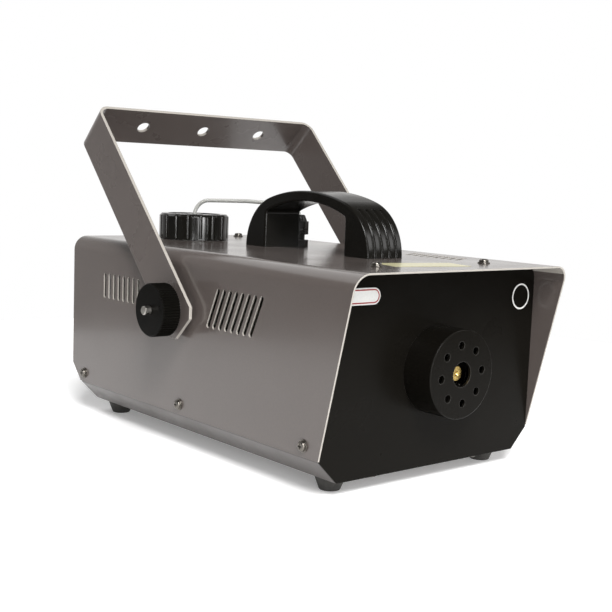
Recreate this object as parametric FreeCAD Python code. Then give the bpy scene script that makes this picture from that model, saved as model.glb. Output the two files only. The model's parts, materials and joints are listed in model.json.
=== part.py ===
"""Fog machine: sheet-steel housing, heater, pump, fluid tank, carry handle and hanging yoke.

Millimetres, +Z up, the nozzle points along -Y. The origin lies on the floor under the middle of the body.
"""
import FreeCAD
import Part
import math
import os

Vec = FreeCAD.Vector
X = Vec(1, 0, 0)
Y = Vec(0, 1, 0)
Z = Vec(0, 0, 1)

# ---- driving dimensions ------------------------------------------------------------------------
body_width = 250.0
body_length = 430.0
body_top = 180.0
foot_height = 12.0
sheet = 1.5
fold_height = 32.0
chamfer = 20.0
corner_radius = 14.0
hood_overhang = 35.0
rear_overhang = 17.0
fit_gap = 0.2
shaft_gap = 0.1

yoke_lean = 43.6
yoke_reach = 229.7
yoke_width = 44.0
yoke_sheet = 3.0
yoke_gap = 6.0
yoke_tail = 22.5
yoke_bend = 12.0
clamp_hole_radius = 6.5
clamp_hole_spacing = 73.0
pivot_z = 128.0
pivot_y = 13.7
pivot_bolt_radius = 4.0

shroud_radius = 37.0
shroud_length = 30.0
nozzle_z = 94.0

cap_radius = 36.0
cap_height = 26.0
cap_x = -20.0
cap_y = 153.0

handle_x = 6.5
handle_y = -19.4
handle_width = 43.0
handle_half_length = 88.5
handle_height = 56.0

# ---- sizes worked out from them ------------------------------------------------------------------
half_width = body_width / 2
inner_half = half_width - sheet
hood_y = -body_length / 2
rear_y = body_length / 2
front_panel_y = hood_y + hood_overhang
rear_panel_y = rear_y - rear_overhang
floor_top = foot_height + sheet
tray_half = inner_half - fit_gap
tray_flat = tray_half - chamfer + sheet
tray_fold = foot_height + tray_half - tray_flat
under_top = body_top - sheet


# ---- helpers -------------------------------------------------------------------------------------
def box(x0, x1, y0, y1, z0, z1):
    return Part.makeBox(x1 - x0, y1 - y0, z1 - z0, Vec(x0, y0, z0))


def rod(radius, start, axis, length):
    return Part.makeCylinder(radius, length, start, axis)


def ring(outer, inner, start, axis, length):
    return rod(outer, start, axis, length).cut(rod(inner, start, axis, length))


def plate(points, normal_step):
    """Closed outline of corner points, pushed along normal_step."""
    outline = Part.makePolygon(points + [points[0]])
    return Part.Face(outline).extrude(normal_step)


def hex_prism(across_flats, start, axis, length):
    corner = across_flats / math.sqrt(3)
    side = axis.cross(Z if abs(axis.z) < 0.5 else X).normalize()
    other = axis.cross(side)
    points = []
    for step in range(6):
        angle = math.radians(60 * step)
        points.append(start + side * (corner * math.cos(angle)) + other * (corner * math.sin(angle)))
    return plate(points, axis * length)


def round_edges(shape, radius, wanted):
    """Fillet the edges for which wanted(edge) is true."""
    edges = [edge for edge in shape.Edges if wanted(edge)]
    return shape.makeFillet(radius, edges)


def along(axis):
    """Test for straight edges parallel to an axis."""
    def test(edge):
        ends = edge.Vertexes
        if len(ends) != 2 or not isinstance(edge.Curve, Part.Line):
            return False
        run = (ends[1].Point - ends[0].Point).normalize()
        return abs(run.dot(axis)) > 0.999
    return test


def block(x0, x1, y0, y1, z0, z1, radius, axis):
    """Box whose edges along one axis are rounded."""
    return round_edges(box(x0, x1, y0, y1, z0, z1), radius, along(axis))


def rounded_path(points, radius):
    """Straight runs joined by tangent arcs, with smaller arcs where a run is short."""
    edges = []
    start = points[0]
    for before, corner, after in zip(points, points[1:], points[2:]):
        run_in = corner - before
        run_out = after - corner
        shortest = min(run_in.Length, run_out.Length)
        run_in.normalize()
        run_out.normalize()
        half_turn = run_in.getAngle(run_out) / 2
        reach = min(radius * math.tan(half_turn), 0.45 * shortest)
        arc_radius = reach / math.tan(half_turn)
        inward = (run_out - run_in).normalize()
        arc_start = corner - run_in * reach
        arc_end = corner + run_out * reach
        middle = corner + inward * (arc_radius / math.cos(half_turn) - arc_radius)
        edges.append(Part.LineSegment(start, arc_start).toShape())
        edges.append(Part.Arc(arc_start, middle, arc_end).toShape())
        start = arc_end
    edges.append(Part.LineSegment(start, points[-1]).toShape())
    return Part.Wire(edges)


def swept_rod(path, radius):
    first = path.Edges[0]
    start = first.valueAt(first.FirstParameter)
    heading = first.tangentAt(first.FirstParameter)
    section = Part.Wire(Part.makeCircle(radius, start, heading))
    return path.makePipeShell([section], True, True)


def swept_tube(points, bend, outer, inner):
    path = rounded_path(points, bend)
    return swept_rod(path, outer).cut(swept_rod(path, inner))


def pan_head_screw(under_head, inward, shank_radius, shank_length, collar_radius=0.0):
    """Cross-recessed pan head outside under_head, on a washer-like collar if asked, shank running inward."""
    head_radius = 2.1 * shank_radius
    collar = 1.0 if collar_radius else 0.0
    head_height = 1.3 * shank_radius + collar
    outward = inward * -1
    head = rod(head_radius, under_head, outward, head_height)
    crown = 0.8 * shank_radius
    top = under_head + outward * head_height
    head = round_edges(head, crown, lambda edge: (edge.CenterOfMass - top).Length < 0.01)
    if collar:
        head = head.fuse(rod(collar_radius, under_head, outward, collar))
    side = outward.cross(Z if abs(outward.z) < 0.5 else X).normalize()
    other = outward.cross(side)
    arm = head_radius * 0.55
    half_slot = head_radius * 0.12
    depth = 0.8 * shank_radius
    for one, two in ((side, other), (other, side)):
        corners = [one * arm + two * half_slot, one * arm - two * half_slot,
                   one * -arm - two * half_slot, one * -arm + two * half_slot]
        slot = plate([top + corner for corner in corners], inward * depth)
        head = head.cut(slot)
    return head.fuse(rod(shank_radius, under_head, inward, shank_length)).removeSplitter()


def slot_cutter(center, run, half_length, half_slot, through, depth):
    """Round-ended slot along run, cut through a sheet."""
    across = through.cross(run).normalize()
    ends = (center + run * half_length, center - run * half_length)
    corners = [ends[0] + across * half_slot, ends[0] - across * half_slot,
               ends[1] - across * half_slot, ends[1] + across * half_slot]
    start = through * (-depth / 2)
    cutter = plate([corner + start for corner in corners], through * depth)
    for end in ends:
        cutter = cutter.fuse(rod(half_slot, end + start, through, depth))
    return cutter


def save(name, *solids):
    shape = solids[0] if len(solids) == 1 else Part.makeCompound(list(solids))
    if len(shape.Solids) == 1:
        shape = shape.Solids[0]
    if not shape.isValid():
        print("INVALID", name)
    shape.exportStep(os.path.join("parts", name + ".step"))
    print(name, len(shape.Solids), round(shape.Volume / 1000, 2), "cm3")


# ---- fastener places -----------------------------------------------------------------------------
screw_radius = 2.0
screw_collar_radius = 5.3
screw_hole = 2.3
side_screw_z = 41.0
side_screw_ys = (front_panel_y + 18, pivot_y, rear_panel_y - 8)
top_screw_x = 64.0
top_screw_ys = (front_panel_y + 9, rear_panel_y - 9)
foot_x = 90.5
foot_spacing = 330.0
foot_middle_y = (front_panel_y + rear_panel_y) / 2
foot_recess = 8.5
handle_screw_x = 11.0
handle_screw_y = 72.0
bracket_screw_x = 22.0
gland_x = 37.0
gland_y = 49.0
louvre_half_width = 2.2
neck_radius = 30.0
heater_front = -150.0
heater_rear = 40.0
pump_x = 71.0
pump_z = 44.0
bracket_sheet = 2.0


def side_screws():
    return [(side, y) for side in (-1, 1) for y in side_screw_ys]


def top_screws():
    return [(side * top_screw_x, y) for side in (-1, 1) for y in top_screw_ys]


def handle_screw_places():
    places = []
    for along_y in (-handle_screw_y, handle_screw_y):
        for across in (-handle_screw_x, handle_screw_x):
            places.append((handle_x + across, handle_y + along_y))
    return places


def foot_places():
    front_y = foot_middle_y - foot_spacing / 2
    rear_foot_y = foot_middle_y + foot_spacing / 2
    return {"front_left": (-foot_x, front_y), "front_right": (foot_x, front_y),
            "rear_left": (-foot_x, rear_foot_y), "rear_right": (foot_x, rear_foot_y)}


def panel_bottom_screws():
    return [(side * 60.0, y) for side in (-1, 1) for y in (front_panel_y + 8, rear_panel_y - 8)]


def bracket_screws():
    return [(side * bracket_screw_x, y) for side in (-1, 1) for y in (heater_front + 10, heater_rear - 10)]


def pump_bracket_screws():
    return [(pump_x + side * 27.0, 91.0) for side in (-1, 1)]


def standoff_places():
    return [(x, y) for x in (53.0, 98.0) for y in (-116.0, -26.0)]


def tray_screw_places():
    return panel_bottom_screws() + bracket_screws() + pump_bracket_screws() + standoff_places()


# ---- housing -------------------------------------------------------------------------------------
def u_profile(half, top, radius):
    """Upright U, open at the bottom, filled in: one solid as long as the body."""
    solid = box(-half, half, hood_y, rear_y, fold_height, top)
    return round_edges(solid, radius, lambda edge: along(Y)(edge) and edge.CenterOfMass.z > top - 1)


def louvre_groups():
    """Cutters for the vent slots: upright rear sets, slanted front sets, and one slanted set on top."""
    cutters = []
    slant = Vec(0, -15.6, 34.5).normalize()
    for side in (-1, 1):
        for step in range(8):
            rear_slot = Vec(side * half_width, 150.8 - 9.0 * step, 135.0)
            front_slot = Vec(side * half_width, -35.6 - 8.7 * step, 133.7)
            cutters.append(slot_cutter(rear_slot, Z, 10.0, louvre_half_width, X, 10.0))
            cutters.append(slot_cutter(front_slot, slant, 17.0, louvre_half_width, X, 10.0))
    top_slant = Vec(29.4, 15.4, 0).normalize()
    for step in range(8):
        top_slot = Vec(78.0, -70.0 - 8.7 * step, body_top)
        cutters.append(slot_cutter(top_slot, top_slant, 15.0, louvre_half_width, Z, 10.0))
    return cutters


def cover():
    shell = u_profile(half_width, body_top, corner_radius)
    shell = shell.cut(u_profile(inner_half, under_top, corner_radius - sheet))
    past = half_width + 5
    slope = hood_overhang / (body_top - fold_height)
    low = fold_height - 10
    front_cut = plate([Vec(-past, front_panel_y + 10 * slope, low),
                       Vec(-past, hood_y - 10 * slope, body_top + 10),
                       Vec(-past, hood_y - 30, body_top + 10),
                       Vec(-past, hood_y - 30, low)], X * (2 * past))
    rear_cut = plate([Vec(-past, rear_panel_y - 10, low),
                      Vec(-past, rear_y + 10, low + rear_overhang + 20),
                      Vec(-past, rear_y + 10, low)], X * (2 * past))
    holes = louvre_groups()
    for side, y in side_screws():
        holes.append(rod(screw_hole, Vec(side * (half_width - 5), y, side_screw_z), X * side, 10))
    for x, y in top_screws():
        holes.append(rod(screw_hole, Vec(x, y, body_top - 5), Z, 10))
    for x, y in handle_screw_places():
        holes.append(rod(2.8, Vec(x, y, body_top - 5), Z, 10))
    for side in (-1, 1):
        holes.append(rod(pivot_bolt_radius + 0.3, Vec(side * (half_width - 5), pivot_y, pivot_z), X * side, 10))
    holes.append(rod(neck_radius + 3.5, Vec(cap_x, cap_y, body_top - 5), Z, 10))
    holes.append(rod(6.3, Vec(gland_x, gland_y, body_top - 5), Z, 10))
    return shell.cut([front_cut, rear_cut] + holes)


def tray_outline(half, flat, fold, bottom, top, y):
    return [Vec(-half, y, top), Vec(-half, y, fold), Vec(-flat, y, bottom), Vec(flat, y, bottom),
            Vec(half, y, fold), Vec(half, y, top)]


def base_tray():
    lip_top = 52.0
    y0 = front_panel_y + sheet
    run = Y * (rear_panel_y - front_panel_y - 2 * sheet)
    bend = sheet * math.tan(math.radians(22.5))
    solid = plate(tray_outline(tray_half, tray_flat, tray_fold, foot_height, lip_top, y0), run)
    hollow = plate(tray_outline(tray_half - sheet, tray_flat - bend, tray_fold + bend, floor_top,
                                lip_top + 1, y0), run)
    holes = []
    for side, y in side_screws():
        holes.append(rod(screw_hole, Vec(side * (inner_half - 6), y, side_screw_z), X * side, 10))
    for x, y in list(foot_places().values()) + tray_screw_places():
        holes.append(rod(screw_hole, Vec(x, y, foot_height - 1), Z, 5))
    return solid.cut([hollow] + holes)


def panel_blank(y0):
    """End panel outline: chamfered lower corners, rounded upper corners, one sheet thick from y0."""
    side = inner_half - fit_gap
    top = under_top - fit_gap
    outline = [Vec(-side, y0, top), Vec(-side, y0, tray_fold), Vec(-tray_flat, y0, foot_height),
               Vec(tray_flat, y0, foot_height), Vec(side, y0, tray_fold), Vec(side, y0, top)]
    solid = plate(outline, Y * sheet)
    upper = lambda edge: along(Y)(edge) and edge.CenterOfMass.z > top - 1
    return round_edges(solid, corner_radius - sheet, upper)


def panel_flanges(y0, y1, screws_y):
    """Fixing flanges bent inward along the panel's top and bottom, y0 to y1, with screw holes."""
    top = under_top - fit_gap
    upper = box(-100, 100, y0, y1, top - sheet, top)
    lower = box(-80, 80, y0, y1, floor_top + 0.05, floor_top + 0.05 + sheet)
    holes = []
    for x, y in top_screws() + panel_bottom_screws():
        if y in screws_y:
            holes.append(rod(screw_hole, Vec(x, y, 0), Z, body_top + 10))
    return upper.cut(holes), lower.cut(holes)


def front_panel():
    y0 = front_panel_y
    blank = panel_blank(y0)
    upper, lower = panel_flanges(y0 + sheet - 0.5, y0 + 20, (top_screw_ys[0], front_panel_y + 8))
    panel = blank.fuse([upper, lower]).removeSplitter()
    holes = [rod(17.0, Vec(0, y0 - 1, nozzle_z), Y, 10)]
    for x, z in shroud_screw_places():
        holes.append(rod(1.7, Vec(x, y0 - 1, z), Y, 10))
    return panel.cut(holes)


inlet_x = 90.0
inlet_z = 62.0
fuse_x = 75.0
fuse_z = 98.0
switch_x = 103.0
switch_z = 98.0
jack_x = 90.0
jack_z = 132.0


def rear_panel():
    y0 = rear_panel_y - sheet
    blank = panel_blank(y0)
    upper, lower = panel_flanges(rear_panel_y - 20, y0 + 0.5, (top_screw_ys[1], rear_panel_y - 8))
    panel = blank.fuse([upper, lower]).removeSplitter()
    past = y0 - 2
    holes = [box(inlet_x - 14.2, inlet_x + 14.2, past, past + 8, inlet_z - 10.7, inlet_z + 10.7),
             box(switch_x - 9.7, switch_x + 9.7, past, past + 8, switch_z - 6.7, switch_z + 6.7),
             rod(6.4, Vec(fuse_x, past, fuse_z), Y, 8),
             rod(5.2, Vec(jack_x, past, jack_z), Y, 8)]
    for side in (-1, 1):
        holes.append(rod(1.7, Vec(inlet_x + side * 20, past, inlet_z), Y, 8))
    for step in range(12):
        place = Vec(-95 + 10 * step, rear_panel_y, 128.0)
        holes.append(slot_cutter(place, Z, 12.0, louvre_half_width, Y, 8.0))
    holes.append(rod(neck_radius + 1.0, Vec(cap_x, cap_y, under_top - 10), Z, 20))
    return panel.cut(holes)


def foot(x, y):
    body = Part.makeCone(8.6, 13.3, foot_height, Vec(x, y, 0), Z)
    body = round_edges(body, 1.0, lambda edge: edge.CenterOfMass.z < 0.01 and len(edge.Vertexes) == 1)
    recess = rod(5.0, Vec(x, y, -1), Z, 1 + foot_recess)
    return body.cut([recess, rod(screw_hole, Vec(x, y, -1), Z, 20)])


# ---- yoke and its clamps -------------------------------------------------------------------------
def lean_back(shape):
    """Turn an upright shape about the pivot axis to the yoke's resting angle."""
    shape.rotate(Vec(0, pivot_y, pivot_z), X, -yoke_lean)
    return shape


def yoke():
    outer_half = half_width + yoke_gap + yoke_sheet
    inner = half_width + yoke_gap
    y0 = pivot_y - yoke_width / 2
    y1 = pivot_y + yoke_width / 2
    foot_z = pivot_z - yoke_tail
    top = pivot_z + yoke_reach
    bend = lambda limit: lambda edge: along(Y)(edge) and edge.CenterOfMass.z > limit
    strap = round_edges(box(-outer_half, outer_half, y0, y1, foot_z, top), yoke_bend, bend(top - 1))
    space = round_edges(box(-inner, inner, y0, y1, foot_z, top - yoke_sheet), yoke_bend - yoke_sheet,
                        bend(top - yoke_sheet - 1))
    strap = strap.cut(space)
    tail_corner = lambda edge: along(X)(edge) and edge.CenterOfMass.z < foot_z + 1
    strap = strap.makeChamfer(7.5, [edge for edge in strap.Edges if tail_corner(edge)])
    cutters = [rod(pivot_bolt_radius + shaft_gap, Vec(-outer_half - 5, pivot_y, pivot_z), X, 2 * outer_half + 10)]
    for step in (-1, 0, 1):
        place = Vec(step * clamp_hole_spacing, pivot_y, top - 10)
        cutters.append(rod(clamp_hole_radius, place, Z, 20))
    return lean_back(strap.cut(cutters))


washer_start = half_width + yoke_gap + yoke_sheet + fit_gap
washer_sheet = 1.6
knob_hub_start = washer_start + washer_sheet + fit_gap
knob_rim_start = half_width + 16.0
knob_face = half_width + 33.2
knob_radius = 23.6
bolt_end = knob_face + 6.5


def knob(side):
    """Knurled clamp knob on the pivot bolt, with a flat outer face and a narrower hub behind it."""
    axis = X * side
    place = lambda reach: Vec(side * reach, pivot_y, pivot_z)
    teeth = 60
    points = []
    for step in range(2 * teeth):
        angle = math.pi * step / teeth
        radius = knob_radius if step % 2 == 0 else knob_radius - 0.9
        spoke = Vec(0, radius * math.cos(angle), radius * math.sin(angle))
        points.append(place(knob_rim_start) + spoke)
    rim = plate(points, axis * (knob_face - knob_rim_start))
    edge_cone = Part.makeCone(knob_radius + 2.0, knob_radius - 1.0, 3.0, place(knob_face - 3.0), axis)
    body_limit = rod(knob_radius + 2.0, place(knob_rim_start), axis, knob_face - 3.0 - knob_rim_start)
    rim = rim.common(body_limit.fuse(edge_cone))
    hub = rod(12.0, place(knob_hub_start), axis, knob_rim_start - knob_hub_start)
    bore = rod(pivot_bolt_radius + shaft_gap, place(half_width), axis, 60)
    return rim.fuse(hub).removeSplitter().cut(bore)


def knob_washer(side):
    return ring(10.0, pivot_bolt_radius + shaft_gap, Vec(side * washer_start, pivot_y, pivot_z),
                X * side, washer_sheet)


def pivot_spacer(side):
    return ring(15.0, pivot_bolt_radius + 0.3, Vec(side * half_width, pivot_y, pivot_z), X * side,
                yoke_gap - fit_gap)


pivot_plate_sheet = 2.0


def pivot_plate(side):
    start = side * (inner_half - pivot_plate_sheet)
    x0, x1 = sorted((start, side * inner_half))
    solid = block(x0, x1, pivot_y - 30, pivot_y + 30, pivot_z - 30, pivot_z + 30, 5.0, X)
    return solid.cut(rod(pivot_bolt_radius + 0.3, Vec(side * 100, pivot_y, pivot_z), X * side, 30))


def pivot_bolt(side):
    head_height = 5.5
    head_start = inner_half - pivot_plate_sheet - head_height
    head = hex_prism(13.0, Vec(side * head_start, pivot_y, pivot_z), X * side, head_height)
    shank_start = head_start + head_height
    shank = rod(pivot_bolt_radius, Vec(side * shank_start, pivot_y, pivot_z), X * side,
                bolt_end - shank_start)
    tip = Vec(side * bolt_end, pivot_y, pivot_z)
    shank = shank.makeChamfer(1.0, [edge for edge in shank.Edges if (edge.CenterOfMass - tip).Length < 0.01])
    return head.fuse(shank).removeSplitter()


# ---- carry handle --------------------------------------------------------------------------------
handle_corner_y = 53.0
handle_corner_z = 48.0
grip_half = 57.0
grip_corner_z = 34.5
grip_top_z = 46.5


def handle_corner_radius():
    """Radius of the arc that stands upright at the foot and passes through the shoulder."""
    inset = handle_half_length - handle_corner_y
    return (inset * inset + handle_corner_z ** 2) / (2 * inset)


def handle_profile():
    x0 = handle_x - handle_width / 2
    at = lambda y, z: Vec(x0, handle_y + y, body_top + z)
    radius = handle_corner_radius()
    center = handle_half_length - radius
    half_angle = math.asin(handle_corner_z / radius) / 2
    bulge_y = center + radius * math.cos(half_angle)
    bulge_z = radius * math.sin(half_angle)
    edges = [Part.Arc(at(-handle_half_length, 0), at(-bulge_y, bulge_z), at(-handle_corner_y, handle_corner_z)),
             Part.Arc(at(-handle_corner_y, handle_corner_z), at(0, handle_height),
                      at(handle_corner_y, handle_corner_z)),
             Part.Arc(at(handle_corner_y, handle_corner_z), at(bulge_y, bulge_z), at(handle_half_length, 0)),
             Part.LineSegment(at(handle_half_length, 0), at(grip_half, 0)),
             Part.LineSegment(at(grip_half, 0), at(grip_half, grip_corner_z)),
             Part.Arc(at(grip_half, grip_corner_z), at(0, grip_top_z), at(-grip_half, grip_corner_z)),
             Part.LineSegment(at(-grip_half, grip_corner_z), at(-grip_half, 0)),
             Part.LineSegment(at(-grip_half, 0), at(-handle_half_length, 0))]
    return Part.Face(Part.Wire([edge.toShape() for edge in edges]))


def handle_flutes():
    """Round grooves that follow the outside of both legs, between five ribs."""
    x0 = handle_x - handle_width / 2
    ribs = 5
    groove = 2.3
    lift = 0.9
    radius = handle_corner_radius()
    cutters = []
    for end in (-1, 1):
        center_y = handle_y + end * (handle_half_length - radius)
        far_y = center_y + end * 90
        keep = box(x0, x0 + handle_width, min(center_y, far_y), max(center_y, far_y), body_top, body_top + 42)
        for step in range(1, ribs):
            center = Vec(x0 + handle_width * step / ribs, center_y, body_top)
            cutters.append(Part.makeTorus(radius + lift, groove, center, X).common(keep))
    return cutters


def carry_handle():
    solid = handle_profile().extrude(X * handle_width)
    x_edges = lambda edge: along(X)(edge) and edge.CenterOfMass.z > body_top + 20
    solid = round_edges(solid, 4.0, x_edges)
    x0 = handle_x - handle_width / 2
    on_side = lambda edge: min(abs(edge.BoundBox.XMin - x0) + abs(edge.BoundBox.XMax - x0),
                               abs(edge.BoundBox.XMin - x0 - handle_width)
                               + abs(edge.BoundBox.XMax - x0 - handle_width)) < 0.01
    above_foot = lambda edge: edge.BoundBox.ZMax > body_top + 1
    solid = round_edges(solid, 2.0, lambda edge: on_side(edge) and above_foot(edge))
    holes = [rod(2.6, Vec(x, y, body_top - 1), Z, 17) for x, y in handle_screw_places()]
    return solid.cut(handle_flutes() + holes)


# ---- fluid tank, cap and hose --------------------------------------------------------------------
tank_wall = 2.5
tank_left = -98.0
tank_right = 52.0
tank_front = 112.0
tank_back = 192.0
tank_low = floor_top + 8.0
tank_top = 152.0
tank_corner = 5.0
filter_low = tank_low + tank_wall + 2.0
neck_top = 201.4
cap_skirt = 32.0
cap_bottom = body_top + 0.6
cap_top = cap_bottom + cap_height
cap_ceiling = cap_top - 3.0
hose_radius = 2.0
hose_bore = 1.3


def tank():
    """Blow-moulded tank on four feet that stand clear of the screw ends in the tray."""
    body = box(tank_left, tank_right, tank_front, tank_back, tank_low, tank_top)
    body = round_edges(body, tank_corner, lambda edge: True)
    foot_half = 6.0
    foot_centers = [(tank_left + 14, tank_front + 14), (tank_left + 22, tank_back - 22),
                    (tank_right - 14, tank_front + 14), (tank_right - 14, tank_back - 22)]
    feet = [block(x - foot_half, x + foot_half, y - foot_half, y + foot_half, floor_top, tank_low + 1, 2.0, Z)
            for x, y in foot_centers]
    neck = rod(neck_radius, Vec(cap_x, cap_y, tank_top - 5), Z, neck_top - tank_top + 5)
    shoulder = Part.makeCone(34.0, neck_radius, 6.0, Vec(cap_x, cap_y, tank_top - 0.5), Z)
    hollow = box(tank_left + tank_wall, tank_right - tank_wall, tank_front + tank_wall, tank_back - tank_wall,
                 tank_low + tank_wall, tank_top - tank_wall)
    hollow = round_edges(hollow, tank_corner - tank_wall, lambda edge: True)
    bore = rod(neck_radius - 3.5, Vec(cap_x, cap_y, tank_top - 20), Z, 100)
    outside = body.fuse([neck, shoulder] + feet).removeSplitter()
    return outside.cut(hollow.fuse(bore).removeSplitter())


def cap_liner():
    """Sealing disc between the neck and the cap's ceiling, which rises with the cap."""
    thickness = cap_ceiling - neck_top - fit_gap
    return ring(cap_skirt - 0.5, hose_radius + 1.0, Vec(cap_x, cap_y, neck_top + fit_gap / 2), Z, thickness)


def tank_cap():
    """Screw cap with eighteen broad lobes between narrow grooves."""
    lobes = 18
    groove_radius = 1.7
    center = Vec(cap_x, cap_y, 0)
    body = rod(cap_radius, center + Z * cap_bottom, Z, cap_height)
    top_rim = lambda edge: edge.CenterOfMass.z > cap_top - 0.01 and len(edge.Vertexes) == 1
    body = body.makeChamfer(2.4, [edge for edge in body.Edges if top_rim(edge)])
    grooves = []
    for step in range(lobes):
        angle = math.radians(7 + 360 * step / lobes)
        spoke = Vec(math.cos(angle), math.sin(angle), 0) * (cap_radius + 0.6)
        grooves.append(rod(groove_radius, center + spoke + Z * (cap_bottom + 1.5), Z, cap_height + 1))
    hollow = rod(cap_skirt, center + Z * (cap_bottom - 1), Z, cap_ceiling - cap_bottom + 1)
    bore = rod(hose_radius + 1.0, center + Z * cap_bottom, Z, cap_height + 5)
    dish = ring(27.0, 9.0, center + Z * (cap_top - 0.8), Z, 2)
    return body.cut(grooves + [hollow, bore, dish])


def hose_route():
    """From the intake filter up through the cap, over to the gland and down to the pump inlet."""
    ground = Vec(cap_x, cap_y, 0)
    landing = Vec(gland_x, gland_y, 0)
    span = landing - ground
    arch = [(0.0, 220.5), (0.5, 222.0), (0.8, 221.0), (1.0, 217.5)]
    points = [ground + Z * (filter_low + 14.0)]
    points += [ground + span * share + Z * height for share, height in arch]
    points += [landing + Z * 152.0, Vec(66, 90, 112), Vec(pump_x, 126, 92), Vec(pump_x, 156, 74),
               Vec(pump_x, 156, pump_z), Vec(pump_x, 130, pump_z)]
    return points


def fluid_hose():
    return swept_tube(hose_route(), 17.0, hose_radius, hose_bore)


def intake_filter():
    center = Vec(cap_x, cap_y, 0)
    body = rod(7.0, center + Z * filter_low, Z, 16.0)
    body = round_edges(body, 1.5, lambda edge: len(edge.Vertexes) == 1)
    collar = rod(4.0, center + Z * (filter_low + 15.0), Z, 5.0)
    return body.fuse(collar).cut(rod(hose_radius, center + Z * (filter_low + 14.0), Z, 10))


def gland_body():
    base = Vec(gland_x, gland_y, body_top)
    flange = hex_prism(16.0, base, Z, 6.0)
    neck = rod(5.6, base + Z * 5, Z, 6.5)
    thread = rod(6.0, base - Z * 10, Z, 11)
    return flange.fuse([neck, thread]).removeSplitter().cut(rod(hose_radius + 0.1, base - Z * 20, Z, 60))


def gland_nut():
    base = Vec(gland_x, gland_y, body_top + 11.5)
    nut = hex_prism(16.0, base, Z, 13.0)
    dome = Part.makeCone(7.6, 5.0, 6.5, base + Z * 13.0, Z)
    dome = round_edges(dome, 1.5, lambda edge: edge.CenterOfMass.z > body_top + 30 and len(edge.Vertexes) == 1)
    return nut.fuse(dome).removeSplitter().cut(rod(hose_radius + 0.8, base - Z * 5, Z, 40))


def gland_locknut():
    base = Vec(gland_x, gland_y, under_top - 5.0)
    return hex_prism(15.0, base, Z, 5.0).cut(rod(6.0, base - Z, Z, 10))


# ---- heater and nozzle ---------------------------------------------------------------------------
block_half = 34.0
element_x = 20.0
element_radius = 4.0
element_tail = heater_rear + 18.0
tube_radius = 4.0
nozzle_tip_y = front_panel_y - 24.0


def shroud_screw_places():
    places = []
    for step in range(3):
        angle = math.radians(90 + 120 * step)
        places.append((30.5 * math.cos(angle), nozzle_z + 30.5 * math.sin(angle)))
    return places


def nozzle_shroud():
    face_y = front_panel_y - shroud_length
    wall = 2.5
    center = Vec(0, face_y, nozzle_z)
    cup = rod(shroud_radius, center, Y, shroud_length)
    cup = round_edges(cup, 1.0, lambda edge: edge.CenterOfMass.y < face_y + 0.01 and len(edge.Vertexes) == 1)
    cutters = [rod(shroud_radius - wall, center + Y * wall, Y, shroud_length - wall - 4.0),
               rod(26.0, center + Y * wall, Y, shroud_length),
               rod(10.5, center - Y, Y, 10)]
    for step in range(8):
        angle = math.radians(5 + 45 * step)
        spoke = Vec(math.cos(angle), 0, math.sin(angle)) * 24.0
        cutters.append(rod(3.4, center + spoke - Y, Y, 10))
    for x, z in shroud_screw_places():
        cutters.append(rod(1.5, Vec(x, front_panel_y - 4.0, z), Y, 10))
    return cup.cut(cutters)


def nozzle():
    tip = Vec(0, nozzle_tip_y, nozzle_z)
    barrel = rod(7.0, tip, Y, 7.0)
    barrel = barrel.makeChamfer(1.0, [edge for edge in barrel.Edges if edge.CenterOfMass.y < nozzle_tip_y + 0.01
                                      and len(edge.Vertexes) == 1])
    hexagon = hex_prism(14.0, tip + Y * 7.0, Y, 10.0)
    dimple = Part.makeCone(2.2, 0.7, 1.5, tip, Y)
    bore = rod(tube_radius, tip + Y * 5.0, Y, 20)
    return barrel.fuse(hexagon).removeSplitter().cut([dimple, rod(0.7, tip, Y, 10), bore])


def vapour_tube():
    start_y = nozzle_tip_y + 5.0
    return ring(tube_radius, 2.5, Vec(0, start_y, nozzle_z), Y, 62.0 - start_y)


def heating_rods(clearance):
    """Two straight cartridge heaters, one each side of the vapour tube."""
    start_y = heater_front + 15
    return [rod(element_radius + clearance, Vec(side * element_x, start_y, nozzle_z), Y, element_tail - start_y)
            for side in (-1, 1)]


def heater_half(low, high):
    solid = block(-block_half, block_half, heater_front, heater_rear, low, high, 3.0, Y)
    channels = [rod(tube_radius + shaft_gap, Vec(0, heater_front - 1, nozzle_z), Y, 200)]
    channels += heating_rods(shaft_gap)
    for x, y in heater_bolt_places():
        channels.append(rod(2.3, Vec(x, y, low - 1), Z, high - low + 2))
    return solid.cut(channels)


def heater_bolt_places():
    return [(side * 28.5, y) for side in (-1, 1) for y in (heater_front + 15, -55.0, heater_rear - 15)]


def heater_bolts():
    bolts = []
    for x, y in heater_bolt_places():
        head = hex_prism(7.0, Vec(x, y, 128.0), Z, 3.0)
        shank = rod(2.0, Vec(x, y, 56.5), Z, 71.5)
        nut = hex_prism(7.0, Vec(x, y, 56.8), Z, 3.2)
        bolts.append(head.fuse([shank, nut]).removeSplitter())
    return bolts


def thermostats():
    discs = []
    for y in (-95.0, -15.0):
        can = rod(8.0, Vec(0, y, 128.0), Z, 4.5)
        ears = block(-13, 13, y - 4, y + 4, 128.0, 129.0, 3.5, Z)
        blades = [box(side * 4 - 0.4, side * 4 + 0.4, y - 3, y + 3, 132.0, 133.5) for side in (-1, 1)]
        discs.append(can.fuse([ears] + blades).removeSplitter())
    return discs


def insulation_wrap():
    y0 = heater_front + 2.5
    y1 = heater_rear - 2.5
    outer = block(-46, 46, y0, y1, 46, 142, 9.0, Y)
    return outer.cut(block(-38, 38, y0, y1, 54, 134, 3.0, Y))


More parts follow.
